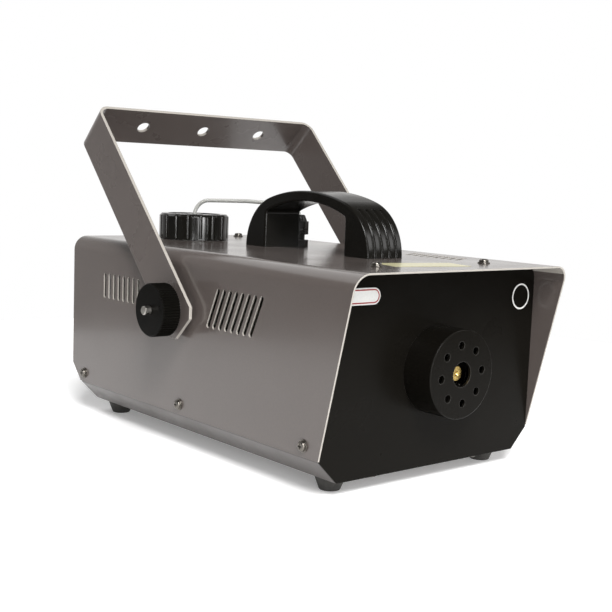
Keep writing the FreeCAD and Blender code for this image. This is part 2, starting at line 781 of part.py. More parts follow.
def heater_bracket(wall_y, inward, foot_screws_y):
    """Upright plate against one end of the heater with a foot bent under it."""
    y0, y1 = sorted((wall_y, wall_y - inward * bracket_sheet))
    f0, f1 = sorted((wall_y - inward * bracket_sheet, wall_y + inward * 20))
    wall = box(-30, 30, y0, y1, floor_top, 116)
    sole = box(-30, 30, f0, f1, floor_top, floor_top + bracket_sheet)
    holes = [rod(tube_radius + 0.6, Vec(0, y0 - 5, nozzle_z), Y, 15)]
    for side in (-1, 1):
        holes.append(rod(element_radius + 1.0, Vec(side * element_x, y0 - 5, nozzle_z), Y, 15))
        holes.append(rod(screw_hole, Vec(side * bracket_screw_x, foot_screws_y, floor_top - 1), Z, 5))
    return wall.fuse(sole).removeSplitter().cut(holes)


def heater_brackets():
    return [heater_bracket(heater_front, 1, heater_front + 10), heater_bracket(heater_rear, -1, heater_rear - 10)]


# ---- pump ----------------------------------------------------------------------------------------
pump_bore = 6.2
plunger_radius = pump_bore - shaft_gap
plunger_start = 84.0


def pump_coil():
    solid = block(pump_x - 20, pump_x + 20, 70, 112, pump_z - 20, pump_z + 20, 4.0, Y)
    return solid.cut(rod(9.1, Vec(pump_x, 60, pump_z), Y, 60))


def pump_tube():
    center = lambda y: Vec(pump_x, y, pump_z)
    body = rod(9.0, center(58), Y, 66)
    flanges = [rod(12.0, center(66), Y, 3.8), rod(12.0, center(112.2), Y, 3.8)]
    nipples = [rod(3.2, center(46), Y, 13), rod(5.0, center(123), Y, 13)]
    hollow = [rod(pump_bore, center(64), Y, 56), rod(1.3, center(40), Y, 100),
              rod(hose_radius, center(130), Y, 10)]
    return body.fuse(flanges + nipples).removeSplitter().cut(hollow)


def pump_plunger():
    body = rod(plunger_radius, Vec(pump_x, plunger_start, pump_z), Y, 32)
    body = round_edges(body, 0.8, lambda edge: len(edge.Vertexes) == 1)
    return body.cut(rod(1.6, Vec(pump_x, plunger_start - 1, pump_z), Y, 40))


def pump_spring():
    wire_radius = 0.7
    coil_radius = 4.5
    turns = 6
    length = plunger_start - 64.0 - 2 * wire_radius - 0.4
    helix = Part.makeHelix(length / turns, length, coil_radius)
    start = Vec(coil_radius, 0, 0)
    section = Part.Wire(Part.makeCircle(wire_radius, start, Y))
    spring = Part.Wire(helix).makePipeShell([section], True, True)
    spring.rotate(Vec(0, 0, 0), X, -90)
    spring.translate(Vec(pump_x, 64.0 + wire_radius + 0.2, pump_z))
    return spring


def pump_bracket():
    """Hat-section cradle that lifts the coil off the floor of the tray."""
    low = floor_top
    top = pump_z - 20
    parts = [box(pump_x - 22, pump_x + 22, 74, 108, top - bracket_sheet, top)]
    for side in (-1, 1):
        x0, x1 = sorted((pump_x + side * 20, pump_x + side * 22))
        f0, f1 = sorted((pump_x + side * 21, pump_x + side * 32))
        parts.append(box(x0, x1, 74, 108, low, top))
        parts.append(box(f0, f1, 74, 108, low, low + bracket_sheet))
    solid = parts[0].fuse(parts[1:]).removeSplitter()
    return solid.cut([rod(screw_hole, Vec(x, y, low - 1), Z, 5) for x, y in pump_bracket_screws()])


def outlet_hose():
    route = [Vec(pump_x, 57, pump_z), Vec(pump_x, 26, pump_z), Vec(pump_x - 2, 24, 82), Vec(72, 56, 94),
             Vec(34, 90, 94), Vec(0, 90, 94), Vec(0, 54, 94)]
    outer = swept_rod(rounded_path(route, 12.0), 5.2)
    inner = swept_rod(rounded_path(route, 12.0), 3.2)
    socket = rod(tube_radius, Vec(0, 50, nozzle_z), Y, 13)
    return outer.cut([inner, socket])


# ---- control board and wiring --------------------------------------------------------------------
board_low = 24.0
board_top = 25.6


def control_board():
    board = box(48, 108, -121, -21, board_low, board_top)
    return board.cut([rod(screw_hole, Vec(x, y, board_low - 1), Z, 5) for x, y in standoff_places()])


def board_transformer():
    core = block(62, 94, -112, -82, board_top + 3, board_top + 27, 1.5, Z)
    coil = block(65, 91, -118, -76, board_top, board_top + 22, 4.0, Z)
    return core.fuse(coil).removeSplitter()


def board_relay():
    return block(58, 74, -72, -44, board_top, board_top + 15, 1.0, Z)


def board_capacitors():
    cans = []
    for x, y in ((86, -64), (99, -64), (99, -52)):
        can = rod(5.0, Vec(x, y, board_top), Z, 13.0)
        cans.append(round_edges(can, 0.8, lambda edge: edge.CenterOfMass.z > board_top + 5
                                and len(edge.Vertexes) == 1))
    return cans


terminal_x = 72.0
terminal_y = -33.0
terminal_pitch = 5.3


def terminal_place(number):
    return Vec(terminal_x + terminal_pitch * number, terminal_y, board_top)


def board_terminals():
    """Four-way screw terminal strip."""
    strip = box(terminal_x - 3, terminal_x + 3 * terminal_pitch + 3, terminal_y - 5, terminal_y + 5,
                board_top, board_top + 10)
    return strip.cut([rod(1.6, terminal_place(number) + Z * 5, Z, 10) for number in range(4)])


def board_standoffs():
    return [ring(3.5, screw_radius, Vec(x, y, floor_top), Z, board_low - floor_top) for x, y in standoff_places()]


def wiring():
    """Four insulated leads: two from the switch to the board, two from the board to the heater."""
    leads = []
    for number in (0, 1):
        shift = 4.0 * number
        end = terminal_place(3 - number)
        mains = [Vec(switch_x - 2 + shift, rear_panel_y - 17.4, switch_z),
                 Vec(switch_x - 2 + shift, 168, switch_z), Vec(108 + shift, 150, 84 - shift),
                 Vec(108 + shift, 40, 62 - shift), Vec(104 + shift, -8, 48 - shift),
                 Vec(end.x, -24, 44), Vec(end.x, end.y, 44), end + Z * 10]
        leads.append(swept_rod(rounded_path(mains, 7.0), 1.2))
    for number, side in ((1, 1), (0, -1)):
        drop = 5.0 * (1 - number)
        end = terminal_place(number)
        heat = [Vec(side * element_x, element_tail, nozzle_z), Vec(side * element_x, 76 + drop, nozzle_z - 4),
                Vec(34, 80 + drop, 78 - drop), Vec(52, 62, 56 - drop), Vec(52, 10, 44 - drop),
                Vec(60, -8, 40 - drop), Vec(end.x, -22, 42), Vec(end.x, end.y, 42), end + Z * 10]
        leads.append(swept_rod(rounded_path(heat, 7.0), 1.2))
    return leads


# ---- rear fittings -------------------------------------------------------------------------------
def mains_inlet():
    y_out = rear_panel_y
    flange = block(inlet_x - 25, inlet_x + 25, y_out, y_out + 2.5, inlet_z - 12, inlet_z + 12, 3.0, Y)
    body = block(inlet_x - 14, inlet_x + 14, y_out - 20, y_out + 1, inlet_z - 10.5, inlet_z + 10.5, 2.0, Y)
    socket = block(inlet_x - 12, inlet_x + 12, y_out - 17, y_out + 5, inlet_z - 8.5, inlet_z + 8.5, 2.5, Y)
    holes = [rod(1.7, Vec(inlet_x + side * 20, y_out - 5, inlet_z), Y, 15) for side in (-1, 1)]
    pins = [pin.copy() for pin in inlet_pins()]
    return flange.fuse(body).removeSplitter().cut([socket] + holes).cut(pins)


def inlet_pins():
    pins = []
    for dx, dz in ((-7.0, -1.5), (7.0, -1.5), (0.0, 4.0)):
        pins.append(box(inlet_x + dx - 1, inlet_x + dx + 1, rear_panel_y - 26, rear_panel_y - 2,
                        inlet_z + dz - 2, inlet_z + dz + 2))
    return pins


def fuse_holder():
    y_out = rear_panel_y
    bezel = rod(9.0, Vec(fuse_x, y_out, fuse_z), Y, 2.0)
    body = rod(6.2, Vec(fuse_x, y_out - 31, fuse_z), Y, 32)
    return bezel.fuse(body).removeSplitter().cut(rod(5.0, Vec(fuse_x, y_out - 28, fuse_z), Y, 40))


def fuse_cap():
    y_out = rear_panel_y + 2.3
    grip = rod(7.5, Vec(fuse_x, y_out, fuse_z), Y, 6.0)
    grip = round_edges(grip, 1.0, lambda edge: edge.CenterOfMass.y > y_out + 5 and len(edge.Vertexes) == 1)
    stem = rod(4.6, Vec(fuse_x, y_out - 10, fuse_z), Y, 11)
    slot = box(fuse_x - 5, fuse_x + 5, y_out + 4.5, y_out + 10, fuse_z - 0.9, fuse_z + 0.9)
    return grip.fuse(stem).removeSplitter().cut([slot, rod(2.6, Vec(fuse_x, y_out - 11, fuse_z), Y, 9)])


def fuse():
    return rod(2.5, Vec(fuse_x, rear_panel_y - 22.5, fuse_z), Y, 20)


rocker_pivot_y = rear_panel_y - 3.0
rocker_tilt = 9.0


def switch_body():
    y_out = rear_panel_y
    bezel = block(switch_x - 10.8, switch_x + 10.8, y_out, y_out + 2.0, switch_z - 7.8, switch_z + 7.8, 1.5, Y)
    body = box(switch_x - 9.5, switch_x + 9.5, y_out - 14, y_out + 1, switch_z - 6.5, switch_z + 6.5)
    well = box(switch_x - 8.2, switch_x + 8.2, y_out - 10, y_out + 5, switch_z - 5.6, switch_z + 5.6)
    tabs = [box(switch_x - 2 + shift - 0.4, switch_x - 2 + shift + 0.4, y_out - 17.4, y_out - 13.5,
                switch_z - 2, switch_z + 2) for shift in (0.0, 4.0)]
    axle = rod(1.2, Vec(switch_x - 9, rocker_pivot_y, switch_z), X, 18)
    return bezel.fuse([body] + tabs).removeSplitter().cut(well).fuse(axle).removeSplitter()


def switch_rocker():
    """Paddle with two faces that meet in a shallow V, pressed in at the bottom."""
    x0 = switch_x - 7.8
    y = rocker_pivot_y
    outline = [Vec(x0, y - 2.6, switch_z - 4.2), Vec(x0, y + 5.6, switch_z - 4.6), Vec(x0, y + 4.4, switch_z),
               Vec(x0, y + 5.6, switch_z + 4.6), Vec(x0, y - 2.6, switch_z + 4.2)]
    paddle = plate(outline, X * 15.6)
    paddle = paddle.cut(rod(1.3, Vec(x0 - 1, y, switch_z), X, 20))
    paddle.rotate(Vec(switch_x, y, switch_z), X, -rocker_tilt)
    return paddle


def remote_socket():
    """Jack socket for the wired remote control."""
    y_out = rear_panel_y
    nut = hex_prism(14.0, Vec(jack_x, y_out, jack_z), Y, 2.5)
    sleeve = rod(5.0, Vec(jack_x, y_out - 3, jack_z), Y, 8.0)
    body = block(jack_x - 8, jack_x + 8, y_out - 26, y_out - sheet, jack_z - 8, jack_z + 8, 1.5, Y)
    bore = rod(3.3, Vec(jack_x, y_out - 24, jack_z), Y, 40)
    return body.fuse([sleeve, nut]).removeSplitter().cut(bore)


# ---- screws and nuts -----------------------------------------------------------------------------
def pan_head_screws():
    """Every M4 x 8 screw: collared ones in the cover's sides and top, plain ones under the tray and in the feet."""
    shown = [(Vec(side * half_width, y, side_screw_z), X * -side) for side, y in side_screws()]
    shown += [(Vec(x, y, body_top), Z * -1) for x, y in top_screws()]
    under = [(Vec(x, y, foot_height), Z) for x, y in tray_screw_places()]
    under += [(Vec(x, y, foot_recess), Z) for x, y in foot_places().values()]
    screws = [pan_head_screw(start, inward, screw_radius, 8.0, screw_collar_radius) for start, inward in shown]
    return screws + [pan_head_screw(start, inward, screw_radius, 8.0) for start, inward in under]


def clinch_nuts():
    nuts = []
    for side, y in side_screws():
        start = Vec(side * (tray_half - sheet), y, side_screw_z)
        nuts.append(ring(4.5, screw_radius, start, X * -side, 3.0))
    for x, y in top_screws():
        nuts.append(ring(4.5, screw_radius, Vec(x, y, under_top - fit_gap - sheet), Z * -1, 3.0))
    for x, y in panel_bottom_screws():
        nuts.append(ring(4.5, screw_radius, Vec(x, y, floor_top + 0.05 + sheet), Z, 3.0))
    for x, y in bracket_screws() + pump_bracket_screws():
        nuts.append(ring(4.5, screw_radius, Vec(x, y, floor_top + bracket_sheet), Z, 3.0))
    for x, y in foot_places().values():
        nuts.append(ring(4.5, screw_radius, Vec(x, y, floor_top), Z, 3.0))
    return nuts


def small_screws():
    """M3 x 7 screws: three behind the nozzle shroud and two on the mains inlet."""
    places = [(Vec(x, front_panel_y + sheet, z), Y * -1) for x, z in shroud_screw_places()]
    places += [(Vec(inlet_x + side * 20, rear_panel_y + 2.5, inlet_z), Y * -1) for side in (-1, 1)]
    return [pan_head_screw(start, inward, 1.5, 7.0) for start, inward in places]


def handle_screws():
    return [pan_head_screw(Vec(x, y, under_top), Z, 2.5, 14.0) for x, y in handle_screw_places()]


# ---- write every sub-part ------------------------------------------------------------------------
os.makedirs("parts", exist_ok=True)

save("cover", cover())
save("base_tray", base_tray())
save("front_panel", front_panel())
save("rear_panel", rear_panel())
for corner_name, (foot_at_x, foot_at_y) in foot_places().items():
    save("foot_" + corner_name, foot(foot_at_x, foot_at_y))

save("yoke", yoke())
for side_name, side_sign in (("left", -1), ("right", 1)):
    save("knob_" + side_name, knob(side_sign))
    save("knob_washer_" + side_name, knob_washer(side_sign))
save("pivot_spacers", pivot_spacer(-1), pivot_spacer(1))
save("pivot_plates", pivot_plate(-1), pivot_plate(1))
save("pivot_bolts", pivot_bolt(-1), pivot_bolt(1))

save("carry_handle", carry_handle())
save("handle_screws", *handle_screws())

save("tank", tank())
save("cap_liner", cap_liner())
save("tank_cap", tank_cap())
save("fluid_hose", fluid_hose())
save("intake_filter", intake_filter())
save("hose_gland_body", gland_body())
save("hose_gland_nut", gland_nut())
save("hose_gland_locknut", gland_locknut())

save("nozzle_shroud", nozzle_shroud())
save("nozzle", nozzle())
save("vapour_tube", vapour_tube())
save("heating_rods", *heating_rods(0.0))
save("heater_block_lower", heater_half(60.0, nozzle_z))
save("heater_block_upper", heater_half(nozzle_z, 128.0))
save("heater_bolts", *heater_bolts())
save("thermostats", *thermostats())
save("insulation_wrap", insulation_wrap())
save("heater_brackets", *heater_brackets())

save("pump_coil", pump_coil())
save("pump_tube", pump_tube())
save("pump_plunger", pump_plunger())
save("pump_spring", pump_spring())
save("pump_bracket", pump_bracket())
save("outlet_hose", outlet_hose())

save("control_board", control_board())
save("board_transformer", board_transformer())
save("board_relay", board_relay())
save("board_capacitors", *board_capacitors())
save("board_terminals", board_terminals())
save("board_standoffs", *board_standoffs())
save("wiring", *wiring())

save("mains_inlet", mains_inlet())
save("inlet_pins", *inlet_pins())
save("fuse_holder", fuse_holder())
save("fuse_cap", fuse_cap())
save("fuse", fuse())
save("switch_body", switch_body())
save("switch_rocker", switch_rocker())
save("remote_socket", remote_socket())

save("pan_head_screws", *pan_head_screws())
save("clinch_nuts", *clinch_nuts())
save("small_screws", *small_screws())
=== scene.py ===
"""Looks, light and camera for the fog machine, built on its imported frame.

Metres, +Z up, the nozzle points along -Y.
"""
import json
import math

import bmesh
import bpy
from mathutils import Matrix, Vector


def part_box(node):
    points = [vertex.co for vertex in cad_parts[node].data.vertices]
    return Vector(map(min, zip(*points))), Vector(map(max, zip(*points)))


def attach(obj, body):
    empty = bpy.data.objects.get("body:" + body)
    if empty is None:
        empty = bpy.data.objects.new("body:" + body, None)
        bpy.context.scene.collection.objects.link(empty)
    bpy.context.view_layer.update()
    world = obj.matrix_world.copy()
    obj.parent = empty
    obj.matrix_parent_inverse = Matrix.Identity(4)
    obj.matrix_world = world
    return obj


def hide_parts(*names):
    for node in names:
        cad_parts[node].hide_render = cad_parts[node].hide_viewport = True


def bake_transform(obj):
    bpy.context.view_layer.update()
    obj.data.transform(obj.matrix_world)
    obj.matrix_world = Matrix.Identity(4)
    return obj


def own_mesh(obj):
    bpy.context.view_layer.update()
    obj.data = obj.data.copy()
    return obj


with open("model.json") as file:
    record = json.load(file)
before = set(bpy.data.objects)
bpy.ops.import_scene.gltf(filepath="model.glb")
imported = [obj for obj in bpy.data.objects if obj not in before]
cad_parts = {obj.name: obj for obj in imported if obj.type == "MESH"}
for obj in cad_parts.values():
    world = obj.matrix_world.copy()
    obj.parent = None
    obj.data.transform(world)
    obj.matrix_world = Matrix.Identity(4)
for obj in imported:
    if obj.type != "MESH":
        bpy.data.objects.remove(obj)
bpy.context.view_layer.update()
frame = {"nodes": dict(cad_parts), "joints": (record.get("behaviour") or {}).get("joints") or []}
scene = bpy.context.scene
scene.view_settings.view_transform = "Standard"
nodes = frame["nodes"]


# ---- material helpers ----------------------------------------------------------------------------
class Graph:
    """Small wrapper that keeps node building readable."""

    def __init__(self, name):
        self.material = bpy.data.materials.new(name)
        self.material.use_nodes = True
        self.tree = self.material.node_tree
        self.shader = self.tree.nodes["Principled BSDF"]
        self.place = self.add("ShaderNodeTexCoord").outputs["Object"]

    def add(self, kind, **settings):
        node = self.tree.nodes.new(kind)
        for key, value in settings.items():
            setattr(node, key, value)
        return node

    def link(self, output, target):
        self.tree.links.new(output, target)

    def noise(self, scale, detail, stretch=(1, 1, 1)):
        mapping = self.add("ShaderNodeMapping")
        mapping.inputs["Scale"].default_value = stretch
        self.link(self.place, mapping.inputs["Vector"])
        node = self.add("ShaderNodeTexNoise")
        node.inputs["Scale"].default_value = scale
        node.inputs["Detail"].default_value = detail
        node.inputs["Roughness"].default_value = 0.5
        self.link(mapping.outputs["Vector"], node.inputs["Vector"])
        return node.outputs["Fac"]

    def ramp(self, value, stops):
        node = self.add("ShaderNodeValToRGB")
        while len(node.color_ramp.elements) < len(stops):
            node.color_ramp.elements.new(0.5)
        for element, (position, colour) in zip(node.color_ramp.elements, stops):
            element.position = position
            element.color = (*colour, 1)
        self.link(value, node.inputs["Fac"])
        return node.outputs["Color"]

    def spread(self, value, low, high, from_low=0.3, from_high=0.7):
        node = self.add("ShaderNodeMapRange")
        node.inputs["From Min"].default_value = from_low
        node.inputs["From Max"].default_value = from_high
        node.inputs["To Min"].default_value = low
        node.inputs["To Max"].default_value = high
        self.link(value, node.inputs["Value"])
        return node.outputs["Result"]

    def math(self, operation, one, two):
        node = self.add("ShaderNodeMath", operation=operation)
        for socket, value in zip(node.inputs, (one, two)):
            if isinstance(value, (int, float)):
                socket.default_value = value
            else:
                self.link(value, socket)
        return node.outputs["Value"]

    def mix(self, share, one, two):
        node = self.add("ShaderNodeMix", data_type="RGBA")
        for name, value in (("Factor", share), ("A", one), ("B", two)):
            socket = node.inputs[name]
            if isinstance(value, (int, float)):
                socket.default_value = value
            elif isinstance(value, tuple):
                socket.default_value = (*value, 1)
            else:
                self.link(value, socket)
        return node.outputs["Result"]

    def edge(self, radius):
        """0 on flat faces, up to 1 along sharp edges."""
        bevel = self.add("ShaderNodeBevel", samples=4)
        bevel.inputs["Radius"].default_value = radius
        geometry = self.add("ShaderNodeNewGeometry")
        dot = self.add("ShaderNodeVectorMath", operation="DOT_PRODUCT")
        self.link(bevel.outputs["Normal"], dot.inputs[0])
        self.link(geometry.outputs["Normal"], dot.inputs[1])
        return self.spread(dot.outputs["Value"], 1.0, 0.0, 0.80, 0.995), bevel.outputs["Normal"]

    def bump(self, height, distance, normal=None):
        node = self.add("ShaderNodeBump")
        node.inputs["Distance"].default_value = distance
        node.inputs["Strength"].default_value = 1.0
        self.link(height, node.inputs["Height"])
        if normal is not None:
            self.link(normal, node.inputs["Normal"])
        return node.outputs["Normal"]

    def set(self, **values):
        for key, value in values.items():
            socket = self.shader.inputs[key.replace("_", " ")]
            if isinstance(value, tuple):
                socket.default_value = (*value, 1)
            elif isinstance(value, (int, float)):
                socket.default_value = value
            else:
                self.link(value, socket)
        return self.material


def scaled(colour, factor):
    return tuple(channel * factor for channel in colour)


def painted_sheet(name, colour, roughness, edge_highlight_colour, edge_highlight_share, coat=0.4, level=0.5):
    """Sprayed sheet metal: fine orange peel, slight waviness, dust, and rounded edges painted paler as a
    painted highlight.
    """
    graph = Graph(name)
    edge, rounded = graph.edge(0.0009)
    blotch = graph.noise(9.0, 4.0)
    grain = graph.noise(900.0, 2.0)
    colour_field = graph.ramp(blotch, [(0.3, scaled(colour, 0.96)), (0.7, scaled(colour, 1.04))])
    speck = graph.ramp(grain, [(0.35, scaled(colour, 0.93)), (0.65, scaled(colour, 1.07))])
    body = graph.mix(0.35, colour_field, speck)
    # Painted highlight: the colour is lightened along the rounded edges, where the bevel mask is high.
    base = graph.mix(graph.math("MULTIPLY", edge, edge_highlight_share), body, edge_highlight_colour)
    waves = graph.noise(7.0, 1.0)
    peel_height = graph.noise(420.0, 2.0)
    normal = graph.bump(waves, 0.0003, rounded)
    normal = graph.bump(peel_height, 0.00002, normal)
    rough = graph.spread(graph.noise(22.0, 4.0), roughness * 0.85, roughness * 1.2)
    graph.set(Base_Color=base, Roughness=rough, Normal=normal, Metallic=0.0, Coat_Weight=coat,
              Coat_Roughness=0.12)
    graph.shader.inputs["Specular IOR Level"].default_value = level
    return graph.material


def moulded_plastic(name, colour, roughness, grain_scale=1500.0, grain=0.00003, edge_highlight_share=0.25,
                    coat=0.0, level=0.5):
    """Moulded plastic: fine spark-eroded grain, handling shine, and softly rounded edges painted paler as a
    painted highlight.
    """
    graph = Graph(name)
    edge, rounded = graph.edge(0.0007)
    patch = graph.noise(25.0, 4.0)
    base = graph.ramp(patch, [(0.3, scaled(colour, 0.85)), (0.7, scaled(colour, 1.2))])
    # Painted highlight: the colour is lightened along the rounded edges.
    base = graph.mix(graph.math("MULTIPLY", edge, edge_highlight_share), base, scaled(colour, 2.2))
    rough = graph.spread(graph.noise(60.0, 5.0), roughness * 0.8, roughness * 1.25)
    normal = graph.bump(graph.noise(grain_scale, 2.0), grain, rounded)
    graph.shader.inputs["Specular IOR Level"].default_value = level
    return graph.set(Base_Color=base, Roughness=rough, Normal=normal, Coat_Weight=coat,
                     Coat_Roughness=0.15)


def bare_metal(name, colour, roughness, stretch=(1, 1, 1), scratch_scale=300.0, tarnish=0.15):
    """Machined or plated metal with fine directional marks, a little tarnish, and edges painted paler as a
    painted highlight.
    """
    graph = Graph(name)
    edge, rounded = graph.edge(0.0005)
    marks = graph.noise(scratch_scale, 4.0, stretch)
    stain = graph.noise(70.0, 4.0)
    stained = graph.math("MULTIPLY", graph.spread(stain, 0.0, 1.0), tarnish)
    base = graph.mix(stained, colour, scaled(colour, 0.45))
    # Painted highlight: the colour is lightened along the edges.
    base = graph.mix(graph.math("MULTIPLY", edge, 0.5), base, scaled(colour, 1.25))
    rough = graph.spread(marks, roughness * 0.75, roughness * 1.35)
    normal = graph.bump(marks, 0.00003, rounded)
    return graph.set(Base_Color=base, Roughness=rough, Metallic=1.0, Normal=normal)


def rubber(name, colour):
    """Dull rubber with dust in its pores."""
    graph = Graph(name)
    dust = graph.noise(180.0, 6.0)
    base = graph.ramp(dust, [(0.4, colour), (0.75, scaled(colour, 2.4))])
    rough = graph.spread(graph.noise(90.0, 3.0), 0.6, 0.85)
    normal = graph.bump(graph.noise(2200.0, 2.0), 0.00005)
    return graph.set(Base_Color=base, Roughness=rough, Normal=normal)


def clear_hose(name, clearness):
    """Cloudy clear plastic or glass."""
    graph = Graph(name)
    cloud = graph.noise(120.0, 3.0)
    base = graph.ramp(cloud, [(0.3, (0.66, 0.66, 0.63)), (0.7, (0.76, 0.76, 0.73))])
    rough = graph.spread(graph.noise(300.0, 2.0), 0.10, 0.18)
    graph.set(Base_Color=base, Roughness=rough)
    graph.shader.inputs["Transmission Weight"].default_value = clearness
    graph.shader.inputs["IOR"].default_value = 1.4
    return graph.material


def wool(name):
    """Mineral wool with strands round the heater."""
    graph = Graph(name)
    strands = graph.noise(700.0, 6.0, (1, 6, 1))
    base = graph.ramp(strands, [(0.3, (0.5, 0.47, 0.40)), (0.7, (0.78, 0.75, 0.68))])
    normal = graph.bump(strands, 0.0004)
    return graph.set(Base_Color=base, Roughness=0.9, Normal=normal)


def circuit_board(name):
    """Green varnished board with tracks."""
    graph = Graph(name)
    tracks = graph.add("ShaderNodeTexVoronoi", feature="DISTANCE_TO_EDGE")
    tracks.inputs["Scale"].default_value = 160.0
    graph.link(graph.place, tracks.inputs["Vector"])
    base = graph.ramp(tracks.outputs["Distance"], [(0.04, (0.02, 0.14, 0.06)), (0.09, (0.01, 0.08, 0.03))])
    return graph.set(Base_Color=base, Roughness=0.35, Coat_Weight=0.5, Coat_Roughness=0.2)


GREY = (0.098, 0.082, 0.075)
# Pale grey painted onto the sheet edges as a painted highlight.
EDGE_HIGHLIGHT_GREY = (0.36, 0.335, 0.30)
BLACK_SHEET = (0.0048, 0.0042, 0.0033)
BLACK_PLASTIC = (0.0062, 0.0057, 0.0046)

finishes = {
    "housing": painted_sheet("housing paint", GREY, 0.22, EDGE_HIGHLIGHT_GREY, 0.5),
    "yoke": painted_sheet("yoke paint", scaled(GREY, 1.05), 0.28, EDGE_HIGHLIGHT_GREY, 0.5, coat=0.25),
    # The tray is the cover's grey darkened to 0.62: painted shade of its downward-facing chamfers.
    "tray": painted_sheet("tray paint darkened as shade", scaled(GREY, 0.62), 0.34, scaled(EDGE_HIGHLIGHT_GREY, 0.6), 0.5, coat=0.2),
    "panel": painted_sheet("panel paint", BLACK_SHEET, 0.30, (0.05, 0.047, 0.042), 0.5, coat=0.0, level=0.06),
    "shroud": painted_sheet("shroud paint", BLACK_SHEET, 0.28, (0.10, 0.097, 0.09), 0.6, coat=0.0,
                            level=0.06),
    "handle": moulded_plastic("handle plastic", BLACK_PLASTIC, 0.20, 1100.0, 0.00001, 0.3, level=0.22),
    "cap": moulded_plastic("cap plastic", BLACK_PLASTIC, 0.15, 800.0, 0.00001, 0.5, coat=0.2),
    "knob": moulded_plastic("knob plastic", scaled(BLACK_PLASTIC, 0.5), 0.34, 1300.0, 0.00002, 1.0,
                            level=0.04),
    "fitting": moulded_plastic("fitting plastic", BLACK_PLASTIC, 0.30, 1300.0, 0.00002, 0.4, level=0.35),
    "foot": rubber("foot rubber", (0.018, 0.017, 0.015)),
    "seal": rubber("seal rubber", (0.030, 0.028, 0.026)),
    "bolt": bare_metal("bright bolt", (0.40, 0.385, 0.355), 0.34, tarnish=0.6),
    "screw": bare_metal("dark screw", (0.20, 0.185, 0.165), 0.30, tarnish=0.5),
    "zinc": bare_metal("zinc plate", (0.55, 0.56, 0.55), 0.38, tarnish=0.3),
    "steel": bare_metal("ground steel", (0.52, 0.51, 0.49), 0.25, (1, 12, 1)),
    "brass": bare_metal("brass", (0.66, 0.47, 0.16), 0.26, tarnish=0.4),
    "aluminium": bare_metal("cast aluminium", (0.60, 0.60, 0.61), 0.42, tarnish=0.25),
    "tank": moulded_plastic("tank plastic", (0.55, 0.55, 0.51), 0.35, 400.0, 0.00004, 0.1),
    "white": moulded_plastic("natural plastic", (0.62, 0.61, 0.57), 0.4, 600.0, 0.00002, 0.1),
    "hose": clear_hose("clear hose", 0.45),
    "wool": wool("insulation wool"),
    "board": circuit_board("circuit board"),
    "dark part": moulded_plastic("component plastic", (0.02, 0.02, 0.022), 0.45),
    "green part": moulded_plastic("terminal plastic", (0.03, 0.20, 0.09), 0.4),
    "winding": bare_metal("transformer winding", (0.42, 0.22, 0.10), 0.4, (1, 30, 1)),
    "lead": moulded_plastic("lead insulation", (0.30, 0.025, 0.018), 0.35),
    "glass": clear_hose("fuse glass", 0.95),
    # Pale grey for the cut faces of the sheets: a painted highlight of their lit edges.
    "cut edge": painted_sheet("cut edge", (0.38, 0.355, 0.32), 0.35, (0.46, 0.44, 0.40), 0.5, coat=0.0),
}

node_finishes = {
    "cover": "housing", "base_tray": "tray", "front_panel": "panel", "rear_panel": "panel",
    "foot_front_left": "foot", "foot_front_right": "foot",
    "foot_rear_left": "foot", "foot_rear_right": "foot",
    "yoke": "yoke", "knob_left": "knob", "knob_right": "knob", "knob_washer_left": "zinc",
    "knob_washer_right": "zinc", "pivot_spacers": "fitting", "pivot_plates": "zinc", "pivot_bolts": "bolt",
    "carry_handle": "handle", "handle_screws": "zinc", "tank": "tank", "cap_liner": "seal", "tank_cap": "cap",
    "fluid_hose": "hose", "intake_filter": "white", "hose_gland_body": "fitting", "hose_gland_nut": "fitting",
    "hose_gland_locknut": "fitting", "nozzle_shroud": "shroud", "nozzle": "brass", "vapour_tube": "steel",
    "heating_rods": "steel", "heater_block_lower": "aluminium", "heater_block_upper": "aluminium",
    "heater_bolts": "zinc", "thermostats": "dark part", "insulation_wrap": "wool", "heater_brackets": "zinc",
    "pump_coil": "dark part", "pump_tube": "brass", "pump_plunger": "steel", "pump_spring": "steel",
    "pump_bracket": "zinc", "outlet_hose": "white", "control_board": "board", "board_transformer": "winding",
    "board_relay": "dark part", "board_capacitors": "dark part", "board_terminals": "green part",
    "board_standoffs": "white", "wiring": "lead", "mains_inlet": "fitting", "inlet_pins": "zinc",
    "fuse_holder": "fitting", "fuse_cap": "fitting", "fuse": "glass", "switch_body": "fitting",
    "switch_rocker": "fitting", "remote_socket": "fitting", "pan_head_screws": "screw", "clinch_nuts": "zinc",
    "small_screws": "screw",
}

for node_name, finish_name in node_finishes.items():
    node = nodes[node_name]
    node.data.materials.clear()
    node.data.materials.append(finishes[finish_name])


# ---- own copies of CAD pieces, in place of the hidden nodes --------------------------------------
def own_copy(node_name, piece_name):
    """A piece of its own in a CAD node's place; the CAD node is hidden."""
    piece = bpy.data.objects.new(piece_name, nodes[node_name].data.copy())
    scene.collection.objects.link(piece)
    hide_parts(node_name)
    return piece


moving_spring = own_copy("pump_spring", "moving_pump_spring")
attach(moving_spring, "housing")
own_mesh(moving_spring)

bending_hose = own_copy("fluid_hose", "bending_fluid_hose")
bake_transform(bending_hose)


# ---- cut edges of the sheet metal, painted pale as a painted highlight ---------------------------
corner_radius = 0.014
cover_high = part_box("cover")[1]
cover_corner = Vector((cover_high.x - corner_radius, 0, cover_high.z - corner_radius))
yoke_lean = math.radians(43.6)
yoke_pivot = Vector(next(joint["pos_m"] for joint in frame["joints"] if joint["name"] == "yoke_tilt"))
yoke_tail_start = -0.02

# Limits, from 0 to 1, on the share of a face's normal that lies along a direction.
ALONG_SKIN = 0.7
NOT_ALONG_CUT = 0.4
NOT_SIDEWAYS = 0.5


def paint_cut_edges(node_name, is_skin):
    """Give the cut faces of a sheet their own paler finish, a painted highlight."""
    mesh = nodes[node_name].data
    mesh.materials.append(finishes["cut edge"])
    for polygon in mesh.polygons:
        if not is_skin(polygon.center, polygon.normal):
            polygon.material_index = 1


